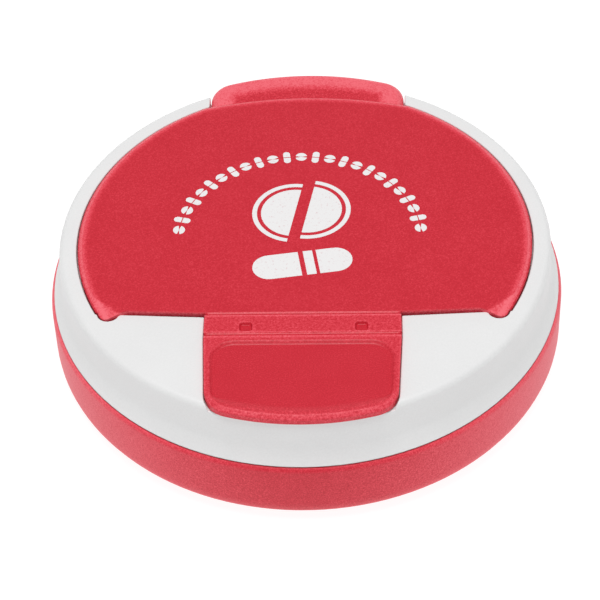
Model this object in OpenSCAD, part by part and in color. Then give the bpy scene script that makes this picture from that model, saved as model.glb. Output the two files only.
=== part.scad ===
// Round pocket pill splitter with a storage case.
// Origin at the centre of the underside, +Z up, press flap towards -Y, lift tab towards +Y.

/* [Case] */
// Largest diameter of the case, across the base
case_d = 75.5; // [75:0.5:77]
// Height from the table to the top of the press flap
case_h = 20; // [20:0.5:22]
// Height of the joint line between the base and the housing
joint_z = 11; // [10.5:0.5:11.5]
// Radius of the rounded bottom edge
bottom_round = 4; // [3:0.5:5]
// Radius of the housing's rounded shoulder
shoulder_round = 0.9; // [0.6:0.1:1.2]
// Height of the housing's flared foot
flare_h = 2.4; // [2:0.1:2.8]

/* [Storage lid] */
// Radius of the lid's round edge
lid_r = 33; // [32.5:0.1:33.2]
// Width of the lift tab at the back of the lid
tab_w = 29.8; // [24:0.2:32]
// Radius of the two small ears beside the lid's straight edge
ear_r = 1.3; // [1.2:0.1:1.5]
// Angle by which the front edge is swept back outside the strap, in degrees
lid_sweep = 2.7; // [0:0.1:3]
// Height of the lid's panel above the housing's flat top
lid_proud = 0.5; // [0.3:0.1:0.6]

/* [Press flap and strap] */
// Width of the press flap and of the strap behind it
flap_w = 27.3; // [26:0.1:29]
// Angle by which each side of the flap runs in towards the lip, in degrees
flap_draft = 2.6; // [0:0.1:3]
// Radius of the flap's front lip, about the centre of the case
lip_r = 36.2; // [35.8:0.1:36.4]
// Depth of the finger dish in the flap
dish_depth = 0.7; // [0.4:0.1:0.9]
// Distance between the two core holes in the strap
core_hole_pitch = 16.3; // [12:0.1:18]

/* [Blade and cradle] */
// Thickness of the blade
blade_t = 0.4; // [0.3:0.05:0.4]
// Height of the cradle floor that a tablet lies on
cradle_floor_z = 11.2; // [11:0.1:11.4]
// Half of the angle between the cradle's two jaws, in degrees
jaw_half_angle = 41; // [36:1:43]

/* [Storage tray] */
// Angle of each divider from the centre line, in degrees
divider_angle = 28; // [20:1:34]
// Thickness of the tray's walls, floor and dividers
tray_wall = 1.2; // [1:0.1:1.4]

/* [Hidden] */
$fn = 96;

red = [0.84, 0.23, 0.28];
white = [0.92, 0.92, 0.92];
steel = [0.72, 0.73, 0.75];

gap = 0.1;         // between flat faces that only lie on each other
slip = 0.25;       // around a lid or flap in its recess
big = 100;         // reaches past the whole case
sink = 0.2;        // how far a shape reaches into the one that it is joined to
arc_steps = 8;     // straight steps in a quarter turn of a small round

// Heights
case_r = case_d / 2;
flat_z = case_h - 0.6;              // flat top of the housing
lid_top = flat_z + lid_proud;
plate_z = lid_top - 1.6;            // underside of the lid's plate
ledge_z = plate_z - gap;            // ledge that the lid rests on
flap_z = case_h - 1.5;              // underside of the flap and the strap
flap_ledge_z = flap_z - 0.05;
ceiling_z = flat_z - 2.6;           // underside of the housing's top plate
floor_z = 2;                        // inside of the base's floor
foot_recess = 0.5;

// Base
base_wall = 2;
base_in_r = case_r - base_wall;
foot_in_r = case_r - 9.5;
base_top_round = 0.8;
base_floor_round = bottom_round - 1.6;
groove_depth = 0.35;
groove_half_h = 0.25;               // half height of the groove's flat bottom
groove_slope_h = 0.35;              // height of each slope above and below it
rib_w = 1;                          // two ribs on the floor, one on each side of the cradle
rib_clear = 0.2;
rib_ys = [-31, -21.5];
rib_h = 4;

// Housing
wall_top_r = case_r - 1.9;
wall_foot_r = case_r - 1.7;
flare_r = case_r - 0.4;
foot_chamfer = 0.2;
skirt_out_r = base_in_r - gap;
skirt_in_r = skirt_out_r - 1.2;
skirt_z = 8;
bead_z = 9.3;
bead_h = 0.3;
bead_half_h = 0.1;                  // half height of the bead's flat crest
bead_slope_h = 0.35;
wall_inset = 0.25;                  // how far the wall's foot leans out before the flare
ceiling_corner = 0.8;               // slope between the ceiling and the wall
skirt_step = [1.1, 1.8];            // heights over the joint where the wall widens from the skirt
inner_wall_r = case_r - 3.2;

// Openings in the housing
mouth_r = lid_r - 1.4;              // round edge of the storage mouth
mouth_front = 14.4;                 // distance of its straight edge from the centre
bay_half_w = 11.6;
bay_back = 21.6;
bay_front_r = 34.2;
tab_notch_z = plate_z - 0.9;        // floor of the notch under the lift tab
ear_pocket_z = plate_z - 0.5;

// Lid outline
lid_front = 16.05;                  // distance of the straight edge from the centre
lid_straight = flap_w / 2 + 0.35;   // half of the part of the edge that isn't swept back
ear_tip = lid_front + 0.7;
ear_y = -(ear_tip - ear_r);
ear_x = sqrt(pow(lid_r - ear_r - 0.1, 2) - ear_y * ear_y);
ear_bevel = 0.4;
tab_corner_r = 4;
tab_top = lid_top - 0.5;
tab_round = 1.4;
tab_bottom = plate_z - 0.4;
tab_near = lid_r - 8;               // where the tab's outline starts, under the lid
tab_root_r = lid_r - 1;
tab_slope = [0.4, 1.2];             // the tab's underside slopes down between these distances past lid_r
bevel = 0.8;
bevel_h = 0.4;
rim_h = 1;                          // plug rim under the lid
rim_t = 1;
rim_clear = 0.3;

// Hinge lines and the strap between them
web_w = 0.5;
web_t = 0.3;
web_top = lid_top;
web_half_w = flap_w / 2 - 0.25;
strap_back = lid_front + web_w;
strap_front = strap_back + 3.5;
flap_back = strap_front + web_w;
hook_x = core_hole_pitch / 2;
hook_w = 3;
hook_t = 0.8;
hook_back = strap_front - 0.95;     // face of the hook's leg that carries the barb
barb = 0.6;
hook_z = ceiling_z - 1;             // lower end of the hooks
core_hole = [1.9, 1.3];

// Flap and blade
flap_corner_r = 4.2;
lip_bevel = 0.6;
lip_under = [1.2, 0.45];            // width and height of the slope under the lip
dish_side = 0.75;
dish_back = flap_back + 0.95;
dish_front_r = lip_r - 3;
dish_corner_r = 3.2;
rib_z = flap_z - 2.3;               // lower edge of the rib and the clamp
rib_back = 22;
rib_front = 33;
rib_x0 = 0.25;
rib_t = 2.05;
peg_r = 0.7;
peg_l = 2.2;
peg_ys = [-24.5, -30.5];
peg_z = flap_z - 1.2;
blade_edge_z = cradle_floor_z - 0.7;
blade_top_z = flap_z - 0.3;
blade_back = 22.4;
blade_front_top = 32.8;
blade_front_edge = 30.6;
grind_h = 1.6;
edge_half_t = 0.02;

// Inserts in the base
insert_r = 34.1;
insert_chamfer = 1.5;
tray_front = 15.2;
tray_top = ceiling_z - 0.4;
divider_top = tray_top - 0.5;
cradle_half_w = 12.4;
cradle_back = 20.6;
jaw_top = rib_z - 1.9;
jaw_apex = 22;
slot_w = 1.2;
slot_back = 21.4;
slot_z = blade_edge_z - 0.6;        // bottom of the slot for the blade
core_front = 32.5;
core_cell = [6.4, 5];
core_cell_pitch = [7.8, 6.2];
core_cell_top = 9.6;

// Points on an arc about [cx, cy], from angle a0 to a1.
function arc(cx, cy, r, a0, a1, n) =
    [for (i = [0 : n]) let (a = a0 + (a1 - a0) * i / n) [cx + r * cos(a), cy + r * sin(a)]];

// Outline of a tongue that reaches towards +Y, with rounded corners, for cutting at radius far_r.
function tongue(half_w, near, far_r, corner_r, draft = 0) =
    let (past = 0.4,
         cx = half_w - (far_r - corner_r - near) * tan(draft) - corner_r,
         cy = sqrt(pow(far_r + past - corner_r, 2) - cx * cx),
         a = atan2(cy, cx))
    concat([[-half_w, near], [half_w, near]],
           arc(cx, cy, corner_r, 0, a, arc_steps),
           [[0, far_r + 6]],
           arc(-cx, cy, corner_r, 180 - a, 180, arc_steps));

// A disc of radius r cut straight at distance front from its centre.
module half_round(r, front) {
    intersection() {
        circle(r);
        translate([-big, -front]) square([2 * big, 2 * big]);
    }
}

// A disc of radius r whose front edge is straight over the middle and swept back on each side.
module lid_disc(r, front) {
    swept = -front + (big - lid_straight) * tan(lid_sweep);
    intersection() {
        circle(r);
        polygon([[-big, big], [-big, swept], [-lid_straight, -front],
                 [lid_straight, -front], [big, swept], [big, big]]);
    }
}

module slab(z0, z1) {
    translate([0, 0, z0]) linear_extrude(z1 - z0) children();
}

module box_between(x0, x1, y0, y1, z0, z1) {
    translate([x0, y0, z0]) cube([x1 - x0, y1 - y0, z1 - z0]);
}

// Room inside the base for an insert, with its lower edge cut back from the base's fillet.
module insert_envelope(top) {
    rotate_extrude() polygon([[0, floor_z], [insert_r - insert_chamfer, floor_z],
                              [insert_r, floor_z + insert_chamfer], [insert_r, top], [0, top]]);
}

// Lower half of the case: a moulded bowl with a foot ring and a snap groove inside its rim.
module base_shell() {
    color(red) union() {
        rotate_extrude() polygon(concat(
            [[0, foot_recess], [foot_in_r, foot_recess], [foot_in_r + foot_recess, 0]],
            arc(case_r - bottom_round, bottom_round, bottom_round, -90, 0, arc_steps),
            arc(case_r - base_top_round, joint_z - base_top_round, base_top_round, 0, 90, arc_steps),
            [[base_in_r, joint_z],
             [base_in_r, bead_z + groove_half_h + groove_slope_h],
             [base_in_r + groove_depth, bead_z + groove_half_h],
             [base_in_r + groove_depth, bead_z - groove_half_h],
             [base_in_r, bead_z - groove_half_h - groove_slope_h]],
            arc(base_in_r - base_floor_round, floor_z + base_floor_round, base_floor_round,
                0, -90, arc_steps),
            [[0, floor_z]]));
        for (side = [-1, 1])
            translate([side * (cradle_half_w + rib_clear + rib_w / 2), 0, 0])
                box_between(-rib_w / 2, rib_w / 2, rib_ys[0], rib_ys[1],
                            floor_z - sink, floor_z + rib_h);
    }
}

// Pill tray behind the cutter, with two dividers that make three pockets.
module storage_tray() {
    color(white) difference() {
        intersection() {
            insert_envelope(tray_top);
            slab(0, big) translate([-big, -tray_front]) square([2 * big, 2 * big]);
        }
        slab(divider_top, big) half_round(insert_r - tray_wall, tray_front - tray_wall);
        slab(floor_z + tray_wall, big) difference() {
            half_round(insert_r - tray_wall, tray_front - tray_wall);
            for (side = [-1, 1])
                translate([0, -tray_front]) rotate(side * divider_angle)
                    translate([-tray_wall / 2, 0]) square([tray_wall, big]);
        }
    }
}

// Block under the press flap. Two jaws centre the tablet below the blade.
module pill_cradle() {
    jaw_reach = 14;                 // past the case's edge
    color(white) difference() {
        intersection() {
            insert_envelope(jaw_top);
            box_between(-cradle_half_w, cradle_half_w, -big, -cradle_back, 0, big);
        }
        slab(cradle_floor_z, big)
            polygon([[0, -jaw_apex],
                     [jaw_reach * tan(jaw_half_angle), -jaw_apex - jaw_reach],
                     [-jaw_reach * tan(jaw_half_angle), -jaw_apex - jaw_reach]]);
        box_between(-slot_w / 2, slot_w / 2, -big, -slot_back, slot_z, big);
        for (ix = [-1 : 1], iy = [0 : 1])
            translate([ix * core_cell_pitch[0] - core_cell[0] / 2,
                       iy * core_cell_pitch[1] - core_front, 0])
                cube([core_cell[0], core_cell[1], core_cell_top]);
    }
}

// Upper half of the case, with a skirt that snaps into the base.
module housing() {
    seat_half = flap_w / 2 + slip;
    flap_seat = tongue(seat_half, flap_back, lip_r + slip, flap_corner_r + slip, flap_draft);
    color(white) difference() {
        rotate_extrude() polygon(concat(
            [[skirt_in_r, skirt_z], [skirt_out_r, skirt_z],
             [skirt_out_r, bead_z - bead_half_h - bead_slope_h],
             [skirt_out_r + bead_h, bead_z - bead_half_h],
             [skirt_out_r + bead_h, bead_z + bead_half_h],
             [skirt_out_r, bead_z + bead_half_h + bead_slope_h],
             [skirt_out_r, joint_z], [flare_r - foot_chamfer, joint_z],
             [flare_r, joint_z + foot_chamfer],
             [wall_foot_r + wall_inset, joint_z + flare_h - wall_inset],
             [wall_foot_r, joint_z + flare_h + 2 * wall_inset]],
            arc(wall_top_r - shoulder_round, flat_z - shoulder_round, shoulder_round, 0, 90, arc_steps),
            [[0, flat_z], [0, ceiling_z], [inner_wall_r - ceiling_corner, ceiling_z],
             [inner_wall_r, ceiling_z - ceiling_corner], [inner_wall_r, joint_z + skirt_step[1]],
             [skirt_in_r, joint_z + skirt_step[0]]]));
        // Storage mouth, the recess round the lid and the deeper notches for its ears and tab.
        slab(0, big) half_round(mouth_r, mouth_front);
        slab(ledge_z, big) lid_disc(lid_r + slip, lid_front + slip);
        slab(tab_notch_z, big) difference() {
            translate([-tab_w / 2 - slip, tab_near]) square([tab_w + 2 * slip, big]);
            circle(lid_r - tab_slope[0]);
        }
        for (side = [-1, 1])
            slab(ear_pocket_z, big) translate([side * ear_x, ear_y]) circle(ear_r + slip);
        // Seat of the strap and the flap, and the cutter bay.
        slab(flap_ledge_z, big) rotate(180) polygon(concat(
            [[-seat_half, strap_back - slip], [seat_half, strap_back - slip]],
            [for (i = [1 : len(flap_seat)]) flap_seat[i % len(flap_seat)]]));
        slab(0, big) intersection() {
            circle(bay_front_r);
            translate([-bay_half_w, -big]) square([2 * bay_half_w, big - bay_back]);
        }
        for (side = [-1, 1])
            translate([side * hook_x, 0, 0])
                box_between(-hook_w / 2 - 2 * gap, hook_w / 2 + 2 * gap, -hook_back - hook_t - gap,
                            -hook_back + barb + gap, 0, big);
    }
}

// Fixed strap between the two flaps, held by two hooks that are formed through its core holes.
module hinge_strap() {
    color(red) difference() {
        union() {
            box_between(-flap_w / 2, flap_w / 2, -strap_front, -strap_back, flap_z, case_h);
            for (side = [-1, 1]) translate([side * hook_x, 0, 0]) {
                box_between(-hook_w / 2, hook_w / 2, -hook_back - hook_t, -hook_back,
                            hook_z, flap_z + sink);
                box_between(-hook_w / 2, hook_w / 2, -hook_back - hook_t, -hook_back + barb,
                            hook_z, ceiling_z - gap);
            }
        }
        for (side = [-1, 1])
            translate([side * hook_x - core_hole[0] / 2, -hook_back, flap_z - gap])
                cube([core_hole[0], core_hole[1], big]);
    }
}

module hinge_web(back) {
    color(red) box_between(-web_half_w, web_half_w, -back - web_w, -back, web_top - web_t, web_top);
}

// Thin web that joins the lid to the strap.
module lid_hinge_web() {
    hinge_web(lid_front);
}

// Thin web that joins the press flap to the strap.
module flap_hinge_web() {
    hinge_web(strap_front);
}

// Storage lid: a panel with a bevelled round edge, a lower lift tab and a plug rim underneath.
module storage_lid() {
    rim_r = mouth_r - rim_clear;
    rim_front = mouth_front - rim_clear - gap;
    color(red) union() {
        intersection() {
            rotate_extrude() polygon([[0, plate_z], [lid_r, plate_z], [lid_r, lid_top - bevel_h],
                                      [lid_r - bevel, lid_top], [0, lid_top]]);
            slab(0, big) lid_disc(lid_r, lid_front);
        }
        for (side = [-1, 1]) translate([side * ear_x, ear_y, 0])
            rotate_extrude() polygon([[0, plate_z], [ear_r, plate_z], [ear_r, lid_top - 2 * ear_bevel],
                                      [ear_r - ear_bevel, lid_top - ear_bevel], [0, lid_top - ear_bevel]]);
        intersection() {
            slab(0, big) polygon(tongue(tab_w / 2, tab_near, case_r, tab_corner_r));
            rotate_extrude() polygon(concat(
                [[tab_root_r, plate_z + 2 * sink], [lid_r + tab_slope[0], plate_z + sink],
                 [lid_r + tab_slope[1], tab_bottom], [case_r, tab_bottom]],
                arc(case_r - tab_round, tab_top - tab_round, tab_round, 0, 90, arc_steps),
                [[tab_root_r, tab_top]]));
        }
        slab(plate_z - rim_h, plate_z + sink) difference() {
            half_round(rim_r, rim_front);
            half_round(rim_r - rim_t, rim_front - rim_t);
        }
    }
}

// Press flap with its finger dish. The rib below carries the blade on two pegs.
module press_flap() {
    color(red) union() {
        difference() {
            intersection() {
                rotate(180) slab(0, big) polygon(tongue(flap_w / 2, flap_back, lip_r, flap_corner_r,
                                                          flap_draft));
                rotate_extrude() polygon([[0, flap_z], [lip_r - lip_under[0], flap_z],
                                          [lip_r, flap_z + lip_under[1]], [lip_r, case_h - lip_bevel],
                                          [lip_r - lip_bevel, case_h], [0, case_h]]);
            }
            slab(case_h - dish_depth, big) rotate(180) intersection() {
                polygon(tongue(flap_w / 2 - dish_side, dish_back, dish_front_r, dish_corner_r,
                               flap_draft));
                circle(dish_front_r);
            }
        }
        box_between(rib_x0, rib_x0 + rib_t, -rib_front, -rib_back, rib_z, flap_z + sink);
        for (y = peg_ys)
            translate([rib_x0 + sink - peg_l, y, peg_z]) rotate([0, 90, 0])
                cylinder(h = peg_l, r = peg_r);
    }
}

// Plate pressed onto the flap's two pegs, which traps the blade against the rib.
module blade_clamp() {
    color(white) difference() {
        box_between(-rib_x0 - rib_t, -rib_x0, -rib_front, -rib_back, rib_z, flap_z - gap);
        for (y = peg_ys)
            translate([-big / 2, y, peg_z]) rotate([0, 90, 0]) cylinder(h = big, r = peg_r + 0.05);
    }
}

// Steel blade, ground on both sides to an edge along its bottom.
module blade() {
    half = blade_t / 2;
    color(steel) difference() {
        intersection() {
            rotate([90, 0, 90]) translate([0, 0, -half]) linear_extrude(blade_t)
                polygon([[-blade_back, blade_edge_z], [-blade_back, blade_top_z],
                         [-blade_front_top, blade_top_z], [-blade_front_top, rib_z],
                         [-blade_front_edge, blade_edge_z]]);
            rotate([90, 0, 0]) translate([0, 0, rib_back - 1]) linear_extrude(rib_front - rib_back + 2)
                polygon([[-edge_half_t, blade_edge_z], [edge_half_t, blade_edge_z],
                         [half, blade_edge_z + grind_h], [half, blade_top_z],
                         [-half, blade_top_z], [-half, blade_edge_z + grind_h]]);
        }
        for (y = peg_ys)
            translate([-big / 2, y, peg_z]) rotate([0, 90, 0]) cylinder(h = big, r = peg_r + 0.1);
    }
}

base_shell();
storage_tray();
pill_cradle();
housing();
hinge_strap();
lid_hinge_web();
flap_hinge_web();
storage_lid();
press_flap();
blade_clamp();
blade();
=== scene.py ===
import math

import bmesh
import bpy
import numpy as np
from mathutils import Matrix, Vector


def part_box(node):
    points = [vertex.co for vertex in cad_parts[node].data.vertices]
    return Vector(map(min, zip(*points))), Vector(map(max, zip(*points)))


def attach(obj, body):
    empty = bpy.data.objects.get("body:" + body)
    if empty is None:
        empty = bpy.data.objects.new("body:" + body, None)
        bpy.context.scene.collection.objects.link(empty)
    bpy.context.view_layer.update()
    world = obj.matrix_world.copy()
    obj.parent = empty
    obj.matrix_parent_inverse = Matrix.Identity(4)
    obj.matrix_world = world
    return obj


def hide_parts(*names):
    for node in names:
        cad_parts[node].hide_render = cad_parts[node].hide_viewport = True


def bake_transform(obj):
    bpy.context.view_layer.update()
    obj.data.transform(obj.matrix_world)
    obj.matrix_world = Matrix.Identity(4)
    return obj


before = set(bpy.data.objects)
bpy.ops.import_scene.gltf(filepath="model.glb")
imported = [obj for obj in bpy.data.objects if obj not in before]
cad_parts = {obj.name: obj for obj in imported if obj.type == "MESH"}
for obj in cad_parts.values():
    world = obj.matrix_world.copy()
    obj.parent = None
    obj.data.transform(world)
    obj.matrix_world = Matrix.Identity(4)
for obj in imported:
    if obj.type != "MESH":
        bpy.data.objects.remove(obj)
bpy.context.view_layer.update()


# Stand, camera and light. The case lies on a plain white table under a large soft box, with one low strip
# light behind it, as small moulded goods are lit for a catalogue.
def grid_mesh(name, points, wrap_u=False, wrap_v=False):
    """Mesh through an (n, m, 3) array of points in mm: one quad for each cell of the grid, joined round
    where asked."""
    n, m = points.shape[:2]
    u = np.arange(n if wrap_u else n - 1)
    v = np.arange(m if wrap_v else m - 1)
    u, v = [a.ravel() for a in np.meshgrid(u, v, indexing="ij")]
    u1, v1 = (u + 1) % n, (v + 1) % m
    faces = np.stack([u * m + v, u1 * m + v, u1 * m + v1, u * m + v1], axis=1)
    mesh = bpy.data.meshes.new(name)
    mesh.from_pydata((points.reshape(-1, 3) / 1000).tolist(), [], faces.tolist())
    mesh.update()
    return mesh


def place(name, mesh, material=None):
    """Object at the origin that shows the mesh."""
    piece = bpy.data.objects.new(name, mesh)
    bpy.context.scene.collection.objects.link(piece)
    if material is not None:
        mesh.materials.clear()
        mesh.materials.append(material)
    return piece


class Wire:
    """One output of a material's node tree. Arithmetic on it adds Math nodes."""

    def __init__(self, tree, socket):
        self.tree, self.socket = tree, socket

    def math(self, operation, *others):
        return node(self.tree, "Math", {"operation": operation}, dict(enumerate((self,) + others)))

    def __add__(self, other):
        return self.math("ADD", other)

    def __mul__(self, other):
        return self.math("MULTIPLY", other)

    def __sub__(self, other):
        return self.math("SUBTRACT", other)

    def __rsub__(self, other):
        return node(self.tree, "Math", {"operation": "SUBTRACT"}, {0: other, 1: self})

    def __truediv__(self, other):
        return self.math("DIVIDE", other)

    __radd__ = __add__
    __rmul__ = __mul__


def node(tree, kind, settings=None, values=None, out=0):
    """Adds one shader node: its settings first, then a value or a Wire for each socket, by name or
    number."""
    made = tree.nodes.new("ShaderNode" + kind)
    for key, value in (settings or {}).items():
        if key == "stops":
            ramp = made.color_ramp.elements
            while len(ramp) < len(value):
                ramp.new(0.5)
            for element, (position, colour) in zip(ramp, value):
                element.position, element.color = position, colour
        else:
            setattr(made, key, value)
    for key, value in (values or {}).items():
        if isinstance(value, Wire):
            tree.links.new(value.socket, made.inputs[key])
        else:
            made.inputs[key].default_value = value
    return Wire(tree, made.outputs[out])


def new_material(name):
    """Empty material with an output: returns it, its tree, the Object coordinates and its Principled
    shader's sockets."""
    material = bpy.data.materials.new(name)
    material.use_nodes = True
    tree = material.node_tree
    tree.nodes.clear()
    shader = tree.nodes.new("ShaderNodeBsdfPrincipled")
    output = tree.nodes.new("ShaderNodeOutputMaterial")
    tree.links.new(shader.outputs[0], output.inputs["Surface"])
    return material, tree, node(tree, "TexCoord", out="Object"), shader.inputs


def feed(socket, wire):
    """Links a Wire to a shader's socket."""
    wire.tree.links.new(wire.socket, socket)


table_finish, tree, where, shader = new_material("white_table")
shader["Base Color"].default_value = (0.2, 0.2, 0.2, 1)
shader["Specular IOR Level"].default_value = 0.1
shader["Emission Color"].default_value = (1, 1, 1, 1)
shader["Emission Strength"].default_value = 0.92
table_grain = node(tree, "TexNoise", {}, {"Vector": where, "Scale": 900.0, "Detail": 2.0})
feed(shader["Roughness"], table_grain * 0.1 + 0.6)
table_u, table_v = np.meshgrid(np.linspace(-3000, 3000, 5), np.linspace(-3000, 3000, 5), indexing="ij")
table_points = np.stack([table_u, table_v, table_u * 0 - 0.02], axis=2)
table = place("table", grid_mesh("table", table_points), table_finish)

azimuth, elevation, roll = np.radians([-2.436, 44.831, -2.217])
back = np.array([-np.sin(azimuth) * np.cos(elevation), -np.cos(azimuth) * np.cos(elevation),
                 np.sin(elevation)])
right = np.array([np.cos(azimuth), -np.sin(azimuth), 0.0])
up = np.cross(back, right)
camera_x = right * np.cos(roll) + up * np.sin(roll)
camera_y = up * np.cos(roll) - right * np.sin(roll)
camera_at = np.array([-1.017, 0.0, 6.32]) + back * 338.0
camera = bpy.data.objects.new("camera", bpy.data.cameras.new("camera"))
camera.data.sensor_width = 36.0
camera.data.lens = 135.31
camera.data.clip_start = 0.01
camera_frame = np.column_stack([camera_x, camera_y, back, camera_at / 1000])
camera.matrix_world = Matrix([list(row) for row in camera_frame] + [[0, 0, 0, 1]])
bpy.context.scene.collection.objects.link(camera)
bpy.context.scene.camera = camera


def soft_light(name, at, size, power):
    """Square area light in mm that faces the middle of the case."""
    light = bpy.data.objects.new(name, bpy.data.lights.new(name, "AREA"))
    light.data.shape = "RECTANGLE"
    light.data.size, light.data.size_y = size[0] / 1000, size[1] / 1000
    light.data.energy = power
    at = np.array(at, float)
    facing = (at - [0, 0, 12]) / np.linalg.norm(at - [0, 0, 12])
    side = np.cross([0, 0, 1.0] if abs(facing[2]) < 0.99 else [0, 1.0, 0], facing)
    side = side / np.linalg.norm(side)
    light_frame = np.column_stack([side, np.cross(facing, side), facing, at / 1000])
    light.matrix_world = Matrix([list(row) for row in light_frame] + [[0, 0, 0, 1]])
    bpy.context.scene.collection.objects.link(light)


soft_light("soft_box", (-15, -75, 650), (300, 300), 2.6)
soft_light("back_strip", (0, 620, 130), (700, 90), 0.2)
world = bpy.data.worlds.new("studio")
world.use_nodes = True
world.node_tree.nodes["Background"].inputs["Color"].default_value = (1, 1, 1, 1)
world.node_tree.nodes["Background"].inputs["Strength"].default_value = 0.36
bpy.context.scene.world = world
bpy.context.scene.view_settings.view_transform = "Standard"


# Base: the lower half of the case, a red polypropylene bowl moulded in one shot, with a foot ring below
# and a rounded rim above. It is held to the housing by a snap bead.
def red_moulding(name, gloss):
    """Red polypropylene with the spark-eroded grain of its mould. The attribute grain makes it coarser
    and paler, as on the textured borders, and below zero darker, as painted shade. The other attribute
    is painted light: above zero it pales the red as a painted highlight, below zero it darkens it as painted
    shade."""
    material, tree, where, shader = new_material(name)
    fine = node(tree, "TexNoise", {}, {"Vector": where, "Scale": 5200.0, "Detail": 3.0, "Roughness": 0.6})
    speck = node(tree, "TexNoise", {}, {"Vector": where, "Scale": 2700.0, "Detail": 2.0, "Roughness": 0.6})
    cloud = node(tree, "TexNoise", {}, {"Vector": where, "Scale": 190.0, "Detail": 4.0, "Roughness": 0.6})
    grain = node(tree, "Attribute", {"attribute_name": "grain"}, out=2)
    rub = node(tree, "Attribute", {"attribute_name": "rub"}, out=2)
    mottle = (fine - 0.5) * 0.95 + (cloud - 0.5) * 0.12 + (speck - 0.5) * grain * 0.75
    reds = [(0.1, (0.54, 0.013, 0.027, 1)), (0.35, (0.635, 0.018, 0.037, 1)), (0.5, (0.735, 0.036, 0.060, 1)),
            (0.65, (0.85, 0.066, 0.098, 1)), (0.95, (0.98, 0.16, 0.20, 1))]
    # The red's tone takes in the painted highlights and painted shade of the painted light attribute.
    feed(shader["Base Color"], node(tree, "ValToRGB", {"stops": reds},
                                    {"Fac": mottle + grain * 0.13 + rub * 0.3 + 0.35}))
    feed(shader["Roughness"], cloud * 0.1 + grain * 0.06 + gloss)
    height = fine * 0.5 + speck * grain
    feed(shader["Normal"], node(tree, "Bump", {}, {"Height": height, "Strength": 0.4, "Distance": 0.00004}))
    shader["Specular IOR Level"].default_value = 0.32
    return material


def paint(piece, **values):
    """Stores one number for each point of a piece's mesh, or one for them all, under each name."""
    for name, value in values.items():
        count = len(piece.data.vertices)
        attribute = piece.data.attributes.new(name, "FLOAT", "POINT")
        attribute.data.foreach_set("value", (np.zeros(count) + value).astype(np.float32))


def points_of(piece):
    """The piece's points as three arrays, in mm."""
    flat = np.zeros(len(piece.data.vertices) * 3, np.float32)
    piece.data.vertices.foreach_get("co", flat)
    return flat.reshape(-1, 3).T.astype(float) * 1000


def moulding(name, source, body, material, edge, sharp=28, below=None, whole_top=False):
    """Copy of a CAD node with its loose triangles joined, its flat walls made whole faces and its edges
    broken by a small round, as a mould's polished edges leave them. A flat top without a hole can be made
    whole faces too."""
    form = bmesh.new()
    form.from_mesh(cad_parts[source].data)
    bmesh.ops.remove_doubles(form, verts=form.verts, dist=1e-6)
    flat = [side for side in form.edges if all(abs(face.normal.z) < 0.1 for face in side.link_faces)]
    if whole_top:
        top = max(point.co.z for point in form.verts) - 1e-6
        flat += [side for side in form.edges if min(point.co.z for point in side.verts) > top]
    bmesh.ops.dissolve_limit(form, angle_limit=math.radians(0.4), verts=[], edges=flat)
    if below is not None:
        bmesh.ops.bisect_plane(form, geom=form.verts[:] + form.edges[:] + form.faces[:], clear_outer=True,
                               plane_co=(0, 0, below / 1000), plane_no=(0, 0, 1))
        bmesh.ops.holes_fill(form, edges=[side for side in form.edges if side.is_boundary])
    for face in form.faces:
        face.smooth = True
    for side in form.edges:
        side.smooth = not (side.is_manifold and side.calc_face_angle(0) > math.radians(sharp))
    mesh = bpy.data.meshes.new(name)
    form.to_mesh(mesh)
    form.free()
    piece = place(name, mesh, material)
    if edge:
        rounding = piece.modifiers.new("edge", "BEVEL")
        rounding.width = edge / 1000
        rounding.segments = 2
        rounding.limit_method = "ANGLE"
        rounding.angle_limit = math.radians(sharp)
        rounding.use_clamp_overlap = False
        rounding.harden_normals = True
    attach(piece, body)
    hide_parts(source)
    return piece


red = red_moulding("red_polypropylene", 0.33)
base_red = red_moulding("red_base", 0.42)
base = moulding("base", "base_shell", "case", base_red, 0)
x, y, z = points_of(base)
# Painted reflection: the base's red grows paler towards its left and right sides, standing in for the table's
# reflection on its rounded sides.
paint(base, grain=0.4, rub=0.15 + 1.6 * (np.abs(x) / 37.75) ** 1.4)


# Housing: the white upper half, moulded in satin ABS, with the storage mouth, the cutter bay and the
# seats of the two flaps cut into its flat top.
def white_moulding(name):
    """Satin white plastic with a very faint grain."""
    material, tree, where, shader = new_material(name)
    fine = node(tree, "TexNoise", {}, {"Vector": where, "Scale": 3600.0, "Detail": 2.0, "Roughness": 0.5})
    cloud = node(tree, "TexNoise", {}, {"Vector": where, "Scale": 120.0, "Detail": 3.0, "Roughness": 0.5})
    tone = fine * 0.6 + cloud * 0.4
    whites = [(0.3, (0.84, 0.84, 0.84, 1)), (0.7, (0.89, 0.89, 0.89, 1))]
    feed(shader["Base Color"], node(tree, "ValToRGB", {"stops": whites}, {"Fac": tone}))
    feed(shader["Roughness"], cloud * 0.12 + 0.34)
    bump = node(tree, "Bump", {}, {"Height": fine, "Strength": 0.15, "Distance": 0.00003})
    feed(shader["Normal"], bump)
    shader["Specular IOR Level"].default_value = 0.45
    return material


white = white_moulding("white_abs")
moulding("housing_shell", "housing", "case", white, 0.2, whole_top=True)


# Inserts: the white storage tray with its two dividers, and the cradle that centres a tablet below the
# blade. Both lie loose on the base's floor under the housing.
moulding("tray", "storage_tray", "case", white, 0.12)
moulding("cradle", "pill_cradle", "case", white, 0.15)


# Storage lid: the D-shaped red lid, moulded with its lift tab, its two ears and a plug rim below that
# closes the storage mouth. It hangs on the living hinge at its straight edge.
def smooth_step(t):
    """0 below 0, 1 above 1, and 3t^2 - 2t^3 between them."""
    t = np.clip(t, 0, 1)
    return t * t * (3 - 2 * t)


def broken_edge(distance, radius):
    """How far a surface drops at this distance inside its outline, where a quarter circle of that radius
    rounds the edge."""
    return radius - np.sqrt(np.maximum(radius ** 2 - np.maximum(radius - distance, 0) ** 2, 0))


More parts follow.
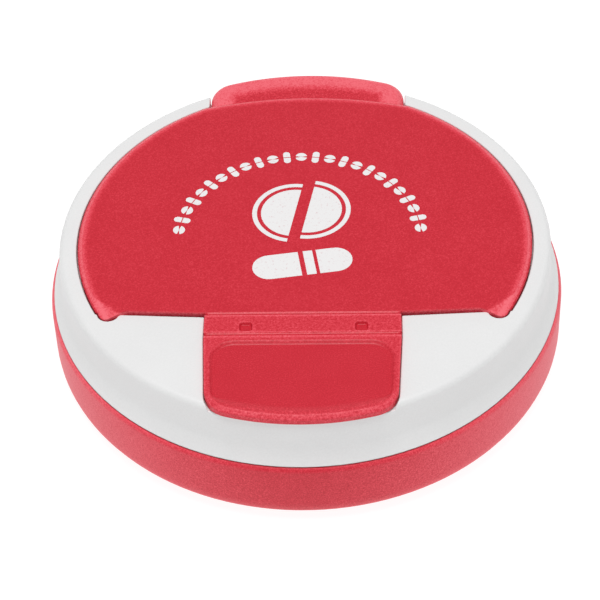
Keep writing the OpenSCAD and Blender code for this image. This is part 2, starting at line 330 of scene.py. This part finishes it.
def finish_mesh(mesh, sharp=40):
    """Joins doubled points at seams and poles, turns the faces outwards, and shades them smooth up to
    that angle."""
    form = bmesh.new()
    form.from_mesh(mesh)
    bmesh.ops.remove_doubles(form, verts=form.verts, dist=1e-7)
    bmesh.ops.holes_fill(form, edges=[side for side in form.edges if side.is_boundary])
    bmesh.ops.recalc_face_normals(form, faces=form.faces)
    for face in form.faces:
        face.smooth = True
    for side in form.edges:
        side.smooth = not (side.is_manifold and side.calc_face_angle(0) > math.radians(sharp))
    form.to_mesh(mesh)
    form.free()
    return mesh


def pad_points(x, y, top, bottom):
    """Closed sheet as a grid: the rows run over the top from edge to edge and back below, so rows wrap
    round."""
    over = np.stack([x, y, top], axis=2)
    under = np.stack([x, y, bottom], axis=2)[:, ::-1]
    return np.concatenate([over, under], axis=1)


lid_low, lid_high = [np.array(corner) * 1000 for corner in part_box("storage_lid")]
web_low, web_high = [np.array(corner) * 1000 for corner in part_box("lid_hinge_web")]
lid_top, plate_z, lid_r, lid_front = lid_high[2], lid_high[2] - 1.6, 33.07, -web_high[1]
straight_half, sweep, rear_reach, rear_r = 14.0, math.tan(math.radians(2.7)), 31.3, 56.5
ear_r, ear_y = 1.35, lid_low[1] + 1.35
ear_x = math.sqrt((lid_r - ear_r - 0.1) ** 2 - ear_y ** 2)


def lid_outline(turn):
    """Distance from the centre to the lid's edge at each angle: the circle, cut by the straight edge, by
    its two swept ends and by the flatter arc at the back, then joined to the two ear circles. The result
    is softened over half a degree to fillet the corners."""
    fine = np.linspace(-np.pi, np.pi, 14400, endpoint=False)
    down, out = -np.sin(fine), np.abs(np.cos(fine))
    swept_front = lid_front + straight_half * sweep
    straight = np.where(down > 0.05, lid_front / np.maximum(down, 0.05), 1e3)
    swept = np.where(down > 0.05, swept_front / np.maximum(down + out * sweep, 0.05), 1e3)
    drop = (rear_r - rear_reach) * down
    rear = drop + np.sqrt(drop ** 2 + rear_r ** 2 - (rear_r - rear_reach) ** 2)
    reach = np.minimum(np.minimum(lid_r, rear), np.minimum(straight, swept))
    for side in (-1, 1):
        along = np.cos(fine) * side * ear_x + np.sin(fine) * ear_y
        inside = ear_r ** 2 - (ear_x ** 2 + ear_y ** 2 - along ** 2)
        ear = along + np.sqrt(np.maximum(inside, 0))
        reach = np.maximum(reach, np.where((inside > 0) & (along > 0), ear, 0))
    kernel = np.exp(-np.linspace(-2.5, 2.5, 41) ** 2 / 2)
    padded = np.concatenate([reach[-20:], reach, reach[:20]])
    soft = np.convolve(padded, kernel / kernel.sum(), "valid")
    return np.interp((turn + np.pi) % (2 * np.pi), fine + np.pi, soft, period=2 * np.pi)


def round_gap(x, y):
    """Distance inside the lid's circle and its flatter arc at the back, whichever is nearer."""
    return np.minimum(lid_r - np.hypot(x, y), rear_r - np.hypot(x, y + rear_r - rear_reach))


def lid_drop(x, y):
    """How far the lid's top lies below its panel: a bevel 0.8 wide along the round edge, and a facet that
    cuts each corner down to its ear."""
    bevel = 0.4 * np.clip(1 - round_gap(x, y) / 0.8, 0, 1)
    past = 0.62 * np.abs(x) - 0.785 * y - 28.3
    facet = 0.2 * np.maximum(past, 0) + 0.05 * smooth_step(past / 0.4)
    return np.hypot(bevel, facet) * 0.5 + np.maximum(bevel, facet) * 0.5


ear_turn = math.atan2(ear_y, ear_x)
turns = np.concatenate([np.linspace(-np.pi, np.pi, 720, endpoint=False),
                        ear_turn + np.radians(np.linspace(-5, 5, 181)),
                        np.pi - ear_turn - 2 * np.pi + np.radians(np.linspace(-5, 5, 181))])
turns = np.unique(np.round((turns + np.pi) % (2 * np.pi) - np.pi, 5))
edge = lid_outline(turns)
inset = np.array([0, 0.01, 0.03, 0.06, 0.1, 0.15, 0.25, 0.4, 0.55, 0.7, 0.8, 0.9, 1.1, 1.4, 1.8, 2.3, 2.9,
                  3.6, 4.5, 6, 8, 11, 15, 20, 25, 29, 33]) / 33.0
share = 1 - inset
top_x = np.cos(turns)[:, None] * edge[:, None] * share
top_y = np.sin(turns)[:, None] * edge[:, None] * share
edge_gap = edge[:, None] * inset * np.clip(np.abs(np.sin(turns[:, None])) + 0.3, 0, 1)
top_z = lid_top - lid_drop(top_x, top_y) - broken_edge(edge_gap, 0.14)
wall_z = top_z[:, :1] + (plate_z + 0.12 - top_z[:, :1]) * np.linspace(0, 1, 6)[None, 1:]
wall_x, wall_y = [np.repeat(a[:, :1], wall_z.shape[1], axis=1) for a in (top_x, top_y)]
under = np.array([0.1, 0.6, 2, 6, 14, 24, 33]) / 33.0
under_x, under_y = [f(turns)[:, None] * edge[:, None] * (1 - under) for f in (np.cos, np.sin)]
lid_points = np.stack([np.concatenate([top_x[:, ::-1], wall_x, under_x], axis=1),
                       np.concatenate([top_y[:, ::-1], wall_y, under_y], axis=1),
                       np.concatenate([top_z[:, ::-1], wall_z, under_x * 0 + plate_z], axis=1)], axis=2)
lid = place("lid", finish_mesh(grid_mesh("lid", lid_points, wrap_u=True)), red)
x, y, z = points_of(lid)
rim_gap = round_gap(x, y)
on_top = lid_top - z < 0.8
band = smooth_step((lid_top - z - 0.02) / 0.1)
# Painted light on the lid: a painted highlight over the bevel band and along the round edge, and a painted
# shadow line along the lid's outermost edge.
bevel_highlight = on_top * (0.85 * band + np.exp(-((rim_gap - 0.85) / 0.42) ** 2))
paint(lid, grain=(0.15 + 0.85 * band) * (z > plate_z + 0.3), rub=bevel_highlight - smooth_step((0.26 - rim_gap) / 0.12))
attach(lid, "lid")
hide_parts("storage_lid")

rim_r, rim_front, rim_wall = 31.3, 14.0, 1.0
rim_down = np.maximum(-np.sin(turns), 0.05)
rim_outer, rim_inner = [np.minimum(rim_r - less, np.where(rim_down > 0.05, (rim_front - less) / rim_down, 1e3))
                        for less in (0, rim_wall)]
rim_share = np.array([0, 0, 0, 0.08, 0.25, 0.75, 0.92, 1, 1, 1])
rim_z = plate_z + np.array([0.2, -0.4, -0.88, -0.97, -1, -1, -0.97, -0.88, -0.4, 0.2])
rim_reach = rim_outer[:, None] + (rim_inner - rim_outer)[:, None] * rim_share
rim_points = np.stack([np.cos(turns)[:, None] * rim_reach, np.sin(turns)[:, None] * rim_reach,
                       rim_reach * 0 + rim_z], axis=2)
rim = place("lid_rim", finish_mesh(grid_mesh("lid_rim", rim_points, wrap_u=True, wrap_v=True)), red)
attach(rim, "lid")

tab_half, tab_corner, tab_reach, tab_round = 15.0, 4.0, lid_high[1], 1.4
tab_cx = tab_half - tab_corner
tab_cy = math.sqrt((tab_reach - tab_corner) ** 2 - tab_cx ** 2)


def tongue_edge(x, reach, corner, cx, cy):
    """How far a tongue reaches at each x: the circle of radius reach about the centre, with corner
    circles tangent to it."""
    rounded = cy + np.sqrt(np.maximum(corner ** 2 - np.maximum(np.abs(x) - cx, 0) ** 2, 0))
    return np.where(np.abs(x) > cx * reach / (reach - corner), rounded, np.sqrt(reach ** 2 - x ** 2))


def tongue_gap(x, y, half, reach, corner, cx, cy):
    """Distance of each point from the tongue's outline, inwards: from a corner circle, from the big
    circle or a side."""
    dx, dy = np.abs(x) - cx, y - cy
    at_corner = (dx > 0) & (dy > 0) & (dx * cy > dy * cx)
    gap = np.where(at_corner, corner - np.hypot(dx, dy), np.minimum(reach - np.hypot(x, y), half - np.abs(x)))
    return np.maximum(gap, 0)


across = tab_half * np.sin(np.linspace(-np.pi / 2, np.pi / 2, 161))
tab_edge = tongue_edge(across, tab_reach, tab_corner, tab_cx, tab_cy)
tab_root = np.sqrt(30.2 ** 2 - across ** 2)
run = 1 - np.linspace(1, 0, 60) ** 1.6
tab_x = np.repeat(across[:, None], len(run), axis=1)
tab_y = tab_root[:, None] + (tab_edge - tab_root)[:, None] * run
tab_gap = tongue_gap(tab_x, tab_y, tab_half, tab_reach, tab_corner, tab_cx, tab_cy)
tab_level = lid_top - 0.5
dip = 0.2 * smooth_step((tab_gap - 3.4) / 1.5)
tab_z = tab_level - dip - broken_edge(tab_gap, tab_round)
tab_under = np.where(np.hypot(tab_x, tab_y) < lid_r + 0.4, plate_z + 0.2, plate_z - 0.4)
tab_under = np.minimum(tab_under, tab_z - 0.05)
tab_points = pad_points(tab_x, tab_y, tab_z, tab_under)
lift_tab = place("lift_tab", finish_mesh(grid_mesh("lift_tab", tab_points, wrap_v=True)), red)
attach(lift_tab, "lid")
x, y, z = points_of(lift_tab)
roll_gap = tongue_gap(x, y, tab_half, tab_reach, tab_corner, tab_cx, tab_cy)
# Painted light on the tab: a painted highlight over its rolled outer band, and painted shade over the dip
# behind it.
tab_shade = 0.2 * smooth_step((roll_gap - 3.4) / 1.2)
paint(lift_tab, grain=1.0, rub=1.4 * smooth_step((4.6 - roll_gap) / 2.2) - tab_shade)


# Print: one pass of white pad-printing ink on the lid, with a tablet split in two above a capsule, under
# an arc of small tablets and capsules.
ink, tree, where, shader = new_material("white_ink")
cover = node(tree, "TexNoise", {}, {"Vector": where, "Scale": 2600.0, "Detail": 3.0, "Roughness": 0.7})
inks = [(0.28, (0.80, 0.62, 0.64, 1)), (0.42, (0.90, 0.89, 0.89, 1))]
feed(shader["Base Color"], node(tree, "ValToRGB", {"stops": inks}, {"Fac": cover}))
feed(shader["Roughness"], cover * 0.2 + 0.4)
feed(shader["Normal"], node(tree, "Bump", {}, {"Height": cover, "Strength": 0.3, "Distance": 0.00002}))
shader["Specular IOR Level"].default_value = 0.3


def sector(cx, cy, r0, r1, a0, a1, tilt=0.0):
    """Part of a ring about a point: radius r0 to r1, angle a0 to a1 in degrees, over an even grid."""
    a, r = np.meshgrid(np.radians(np.linspace(a0, a1, 48) + tilt), np.linspace(r0, r1, 4), indexing="ij")
    return cx + r * np.cos(a), cy + r * np.sin(a)


def lozenge(cx, cy, length, width, tilt, part=(-1.0, 1.0)):
    """Capsule outline filled between two shares of its length: at each place along it, the half width of
    a straight bar with round ends, turned by tilt degrees."""
    u = np.sin(np.linspace(*np.arcsin(part), 33)) * length / 2
    over = np.maximum(np.abs(u) - (length - width) / 2, 0)
    half = np.sqrt(np.maximum(width ** 2 / 4 - over ** 2, 0))
    v = np.linspace(-1, 1, 5)
    x, y = u[:, None] + 0 * v, half[:, None] * v
    c, t = math.cos(math.radians(tilt)), math.sin(math.radians(tilt))
    return cx + x * c - y * t, cy + x * t + y * c


arc_x, arc_y, arc_r = -0.7, -0.8, 17.75
marks = []
for step in range(25):
    turn = 174 - step * 7.0
    cx, cy = arc_x + arc_r * math.cos(math.radians(turn)), arc_y + arc_r * math.sin(math.radians(turn))
    if step % 2:
        marks += [lozenge(cx, cy, 2.5, 1.05, turn, half) for half in ((-1.0, -0.06), (0.06, 1.0))]
    else:
        marks += [sector(cx, cy, 0.05, 0.88, start, start + 156, turn - 90) for start in (12, 192)]
for side, start in ((-1, 96), (1, -84)):
    cx, cy = -0.5 + side * 0.95, 4.9 + side * 0.35
    marks += [sector(cx, cy, *radii, start - 6, start + 174, -10) for radii in ((0.0, 5.0), (5.6, 6.3))]
marks += [lozenge(-0.2, -6.2, 14.5, 4.9, 9, part) for part in ((-1.0, -0.05), (0.05, 0.24), (0.31, 1.0))]
printed = bpy.data.meshes.new("print")
form = bmesh.new()
for count, (x, y) in enumerate(marks):
    points = pad_points(x, y, x * 0 + lid_top + 0.035, x * 0 + lid_top - 0.03)
    form.from_mesh(grid_mesh("mark.%d" % count, points, wrap_v=True))
form.to_mesh(printed)
form.free()
lid_print = place("lid_print", finish_mesh(printed), ink)
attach(lid_print, "lid")


# Press flap: the red thumb pad with its finger dish, moulded with the rib and pegs below that carry the
# blade.
flap_low, flap_high = [np.array(corner) * 1000 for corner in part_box("press_flap")]
flap_top, flap_back, lip_r, flap_corner, draft = flap_high[2], -flap_high[1], -flap_low[1], 4.2, 0.52
flap_half = flap_high[0] + 0.19 - draft
flap_cx = flap_half - flap_corner
flap_cy = math.sqrt((lip_r - flap_corner) ** 2 - flap_cx ** 2)
across = flap_half * np.sin(np.linspace(-np.pi / 2, np.pi / 2, 241))
lip = tongue_edge(across, lip_r, flap_corner, flap_cx, flap_cy)
run = (1 - np.cos(np.linspace(0, np.pi, 150))) / 2


def widen(y):
    """How much wider the flap is at each distance from the centre than at its front corners: its sides
    are drafted."""
    return 1 + draft / flap_half * np.clip((flap_cy - y) / (flap_cy - flap_back), 0, 1)


flap_y = flap_back + (lip - flap_back)[:, None] * run
flap_x = across[:, None] * widen(flap_y)


def dish_shape(x, y):
    """0 outside the finger dish and 1 on its floor. A rounded rectangle with crisp sides and back, whose
    front follows the lip as a circle and rises over 2.2 mm; the width of the slope turns from side to
    front round each corner. Also gives the distance from the flap's edge."""
    x = x / widen(y)
    from_side = flap_half - 0.6 - np.abs(x)
    from_back = y - flap_back - 0.95
    from_front = lip_r - 0.5 - np.hypot(x, y)
    back = 3.7 - np.hypot(np.maximum(3.7 - from_side, 0), np.maximum(3.7 - from_back, 0))
    a, b = np.maximum(2.6 - from_side, 0), np.maximum(2.6 - from_front, 0)
    reach = np.hypot(a, b)
    slope = 0.4 + 1.8 * (b / (reach + 1e-6)) ** 2
    floor = smooth_step(back / 0.7) * smooth_step((2.6 - reach) / slope)
    return floor, tongue_gap(x, y, flap_half, lip_r, flap_corner, flap_cx, flap_cy)


dish, rim_gap = dish_shape(flap_x, flap_y)
back_gap = flap_y - flap_back
lip_side = smooth_step((flap_y - flap_cy) / 2)
lip_drop = 0.8 * np.maximum(0.55 - rim_gap, 0) * lip_side
flap_z = flap_top - 0.38 * dish - lip_drop - broken_edge(np.minimum(rim_gap, back_gap), 0.16)
flap_under = flap_top - 1.52 + 0.2 * smooth_step(1 - rim_gap / 1.3) * lip_side
flap_points = pad_points(flap_x, -flap_y, flap_z, flap_under)
flap = place("flap", finish_mesh(grid_mesh("flap", flap_points, wrap_v=True)), red)
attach(flap, "flap")
x, y, z = points_of(flap)
dish, rim_gap = dish_shape(x, -y)
# Painted highlights: bright lines along the ridge behind the lip, round the flap's sides and lip, and along
# its back edge.
ridge_highlight = np.exp(-((rim_gap - 0.5) / 0.2) ** 2) * smooth_step((-y - flap_cy) / 1.5)
side_highlight = np.exp(-((rim_gap - 0.14) / 0.14) ** 2) * 0.5
back_highlight = np.exp(-((-y - flap_back - 0.3) / 0.2) ** 2) * 0.8
paint(flap, grain=(1 - dish) * (z > flap_top - 1.4),
      rub=(0.6 * ridge_highlight + side_highlight + back_highlight) * (z > flap_top - 0.9))
moulding("flap_rib", "press_flap", "flap", red, 0.12, below=flap_top - 1.51)


# Strap: the fixed middle of the flip-top moulding, seated in the housing between the two hinges. Two
# square core holes go down over the hooks that hold it in the housing.
strap_low, strap_high = [np.array(corner) * 1000 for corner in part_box("hinge_strap")]
strap_half, strap_top = strap_high[0] + 0.19, strap_high[2]
hole_x, hole_y, hole_half = 8.1, -18.9, (0.95, 0.9)
near_edge = np.array([0.02, 0.05, 0.09, 0.14, 0.2])
across = np.unique(np.concatenate([np.linspace(-strap_half, strap_half, 120)]
                                  + [side * hole_x + np.linspace(-1.4, 1.4, 57) for side in (-1, 1)]
                                  + [side * (strap_half - near_edge) for side in (-1, 1)]))
run = np.unique(np.concatenate([np.linspace(strap_low[1], strap_high[1], 60),
                                strap_low[1] + near_edge, strap_high[1] - near_edge]))
strap_x, strap_y = np.meshgrid(across, run, indexing="ij")


def hole_gap(x, y):
    """Distance inside a core hole from its edge, below 0 outside: a rectangle with corners of radius
    0.5."""
    dx = np.abs(np.abs(x - 0.15) - hole_x) - hole_half[0] + 0.5
    dy = np.abs(y - hole_y) - hole_half[1] + 0.5
    return 0.5 - np.hypot(np.maximum(dx, 0), np.maximum(dy, 0)) - np.minimum(np.maximum(dx, dy), 0)


def strap_edge_gap(x, y):
    """Distance of each point from the strap's nearest edge."""
    return np.minimum(strap_half - np.abs(x), np.minimum(y - strap_low[1], strap_high[1] - y))


into_hole = hole_gap(strap_x, strap_y)
strap_z = (strap_top - 0.02 - broken_edge(strap_edge_gap(strap_x, strap_y), 0.14)
           - 0.4 * smooth_step(into_hole / 0.3 + 0.1) - 0.05 * smooth_step(1 - np.abs(into_hole + 0.5) / 0.5))
strap_points = pad_points(strap_x, strap_y, strap_z, strap_x * 0 + strap_top - 1.5)
strap = place("strap", finish_mesh(grid_mesh("strap", strap_points, wrap_v=True)), red)
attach(strap, "case")
x, y, z = points_of(strap)
# Painted highlights: bright lines along the strap's edges, its back edge and round the two core holes.
edge_highlight = 0.5 * np.exp(-((strap_edge_gap(x, y) - 0.12) / 0.14) ** 2)
back_highlight = 0.6 * np.exp(-((strap_high[1] - y - 0.2) / 0.2) ** 2)
hole_highlight = 0.4 * np.exp(-((hole_gap(x, y) + 0.12) / 0.16) ** 2)
# Inside the core holes grain goes below zero, which darkens them as painted shade.
paint(strap, grain=1.0 - 1.4 * smooth_step(hole_gap(x, y) / 0.2),
      rub=(edge_highlight + back_highlight + hole_highlight) * (z > strap_top - 0.5))
moulding("strap_hooks", "hinge_strap", "case", red, 0.1, below=strap_top - 1.45)


# Living hinges: two thin webs of the flip-top moulding, one on each side of the strap.
def hinge_web(name, source, flap_side):
    """Strip between the strap and a flap: a lens-shaped section, thinnest in its middle, carried along
    X."""
    low, high = [np.array(corner) * 1000 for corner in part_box(source)]
    across = np.linspace(low[1] - 0.12, high[1] + 0.12, 13)
    dip = 0.12 * np.cos(np.pi * (across - (low[1] + high[1]) / 2) / (across[-1] - across[0])) ** 2
    section = np.concatenate([np.stack([across, high[2] - 0.02 - dip], axis=1),
                              np.stack([across[::-1], low[2] + dip[::-1] * 0.3], axis=1)])
    along = np.linspace(low[0] - 0.35, high[0] + 0.35, 60)
    u, v = np.meshgrid(along, np.arange(len(section)), indexing="ij")
    points = np.stack([u, section[v.astype(int), 0], section[v.astype(int), 1]], axis=2)
    mesh = grid_mesh(name, points, wrap_v=True)
    form = bmesh.new()
    form.from_mesh(mesh)
    bmesh.ops.holes_fill(form, edges=[side for side in form.edges if side.is_boundary])
    bmesh.ops.recalc_face_normals(form, faces=form.faces)
    for face in form.faces:
        face.smooth = True
    form.to_mesh(mesh)
    form.free()
    web = place(name, mesh, red)
    x, y, z = points_of(web)
    # Painted light on the web: painted highlight lines along its two edges and painted shade along its thin
    # middle.
    middle = np.abs(y - (low[1] + high[1]) / 2) / 0.25
    paint(web, grain=0.8, rub=0.9 * smooth_step((middle - 0.5) / 0.7) - 0.5 * smooth_step(1.0 - middle))
    ends = [(0, low[1] / 1000, high[2] / 1000), (0, high[1] / 1000, high[2] / 1000)]
    if flap_side < 0:
        ends = ends[::-1]
    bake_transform(web)
    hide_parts(source)


hinge_web("lid_web", "lid_hinge_web", 1)
hinge_web("flap_web", "flap_hinge_web", -1)


# Blade and clamp: a ground stainless blade on the flap's two pegs, trapped by a white plate pressed onto
# them.
steel, tree, where, shader = new_material("ground_steel")
lines = node(tree, "Mapping", {}, {"Vector": where, "Scale": (1.0, 40.0, 900.0)})
brushed = node(tree, "TexNoise", {}, {"Vector": lines, "Scale": 12.0, "Detail": 4.0, "Roughness": 0.6})
greys = [(0.3, (0.52, 0.53, 0.55, 1)), (0.7, (0.68, 0.69, 0.70, 1))]
feed(shader["Base Color"], node(tree, "ValToRGB", {"stops": greys}, {"Fac": brushed}))
shader["Metallic"].default_value = 1.0
feed(shader["Roughness"], brushed * 0.2 + 0.18)
moulding("cutting_blade", "blade", "flap", steel, 0)
moulding("clamp_plate", "blade_clamp", "flap", white, 0.12)
